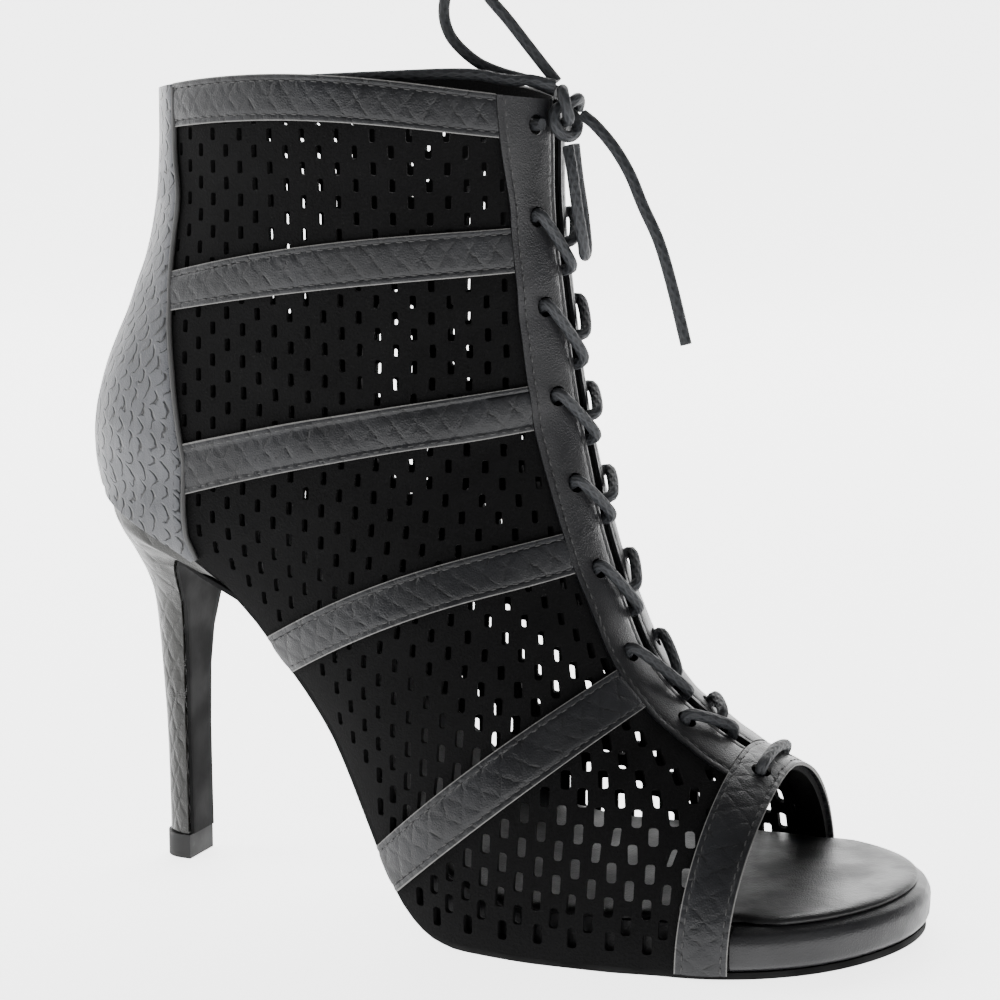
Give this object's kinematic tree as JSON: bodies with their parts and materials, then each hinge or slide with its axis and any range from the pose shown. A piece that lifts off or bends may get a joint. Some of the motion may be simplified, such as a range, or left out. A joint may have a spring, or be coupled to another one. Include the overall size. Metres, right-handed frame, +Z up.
{
  "type": "lace-up open-toe stiletto bootie",
  "caption": "Lace-up open-toe ankle bootie with perforated quarters, side bands, a slim platform and a stiletto heel.",
  "frame": {"origin": "on the floor under the middle of the forefoot's flat tread", "axes": "+X towards the toe, +Y towards the inner (medial) side of this right shoe, +Z up from the floor"},
  "size_m": [0.2141, 0.0876, 0.2222],
  "materials": {
    "black_suede": "matt perforated suede",
    "embossed_leather": "satin, scale embossed",
    "smooth_leather": "satin, smooth",
    "insole_leather": "satin, smooth",
    "heel_wrap": "satin, scale embossed",
    "black_sole": "satin",
    "top_lift_rubber": "matt",
    "lace_cord": "waxed round cord"
  },
  "bodies": {
    "root": {"band_1_lateral": "embossed_leather", "band_1_medial": "embossed_leather", "band_2_lateral": "embossed_leather", "band_2_medial": "embossed_leather", "band_3_lateral": "embossed_leather", "band_3_medial": "embossed_leather", "band_4_lateral": "embossed_leather", "band_4_medial": "embossed_leather", "collar_band_lateral": "embossed_leather", "collar_band_medial": "embossed_leather", "counter": "embossed_leather", "eyestay_lateral": "smooth_leather", "eyestay_medial": "smooth_leather", "heel": "heel_wrap", "insole": "insole_leather", "lace_crossings": "lace_cord", "lace_end_a": "lace_cord", "lace_end_b": "lace_cord", "lace_knot": "lace_cord", "lace_loop_a": "lace_cord", "lace_loop_b": "lace_cord", "outsole": "black_sole", "platform": "smooth_leather", "toe_strap": "embossed_leather", "top_lift": "top_lift_rubber", "upper": "black_suede"}
  },
  "joints": []
}
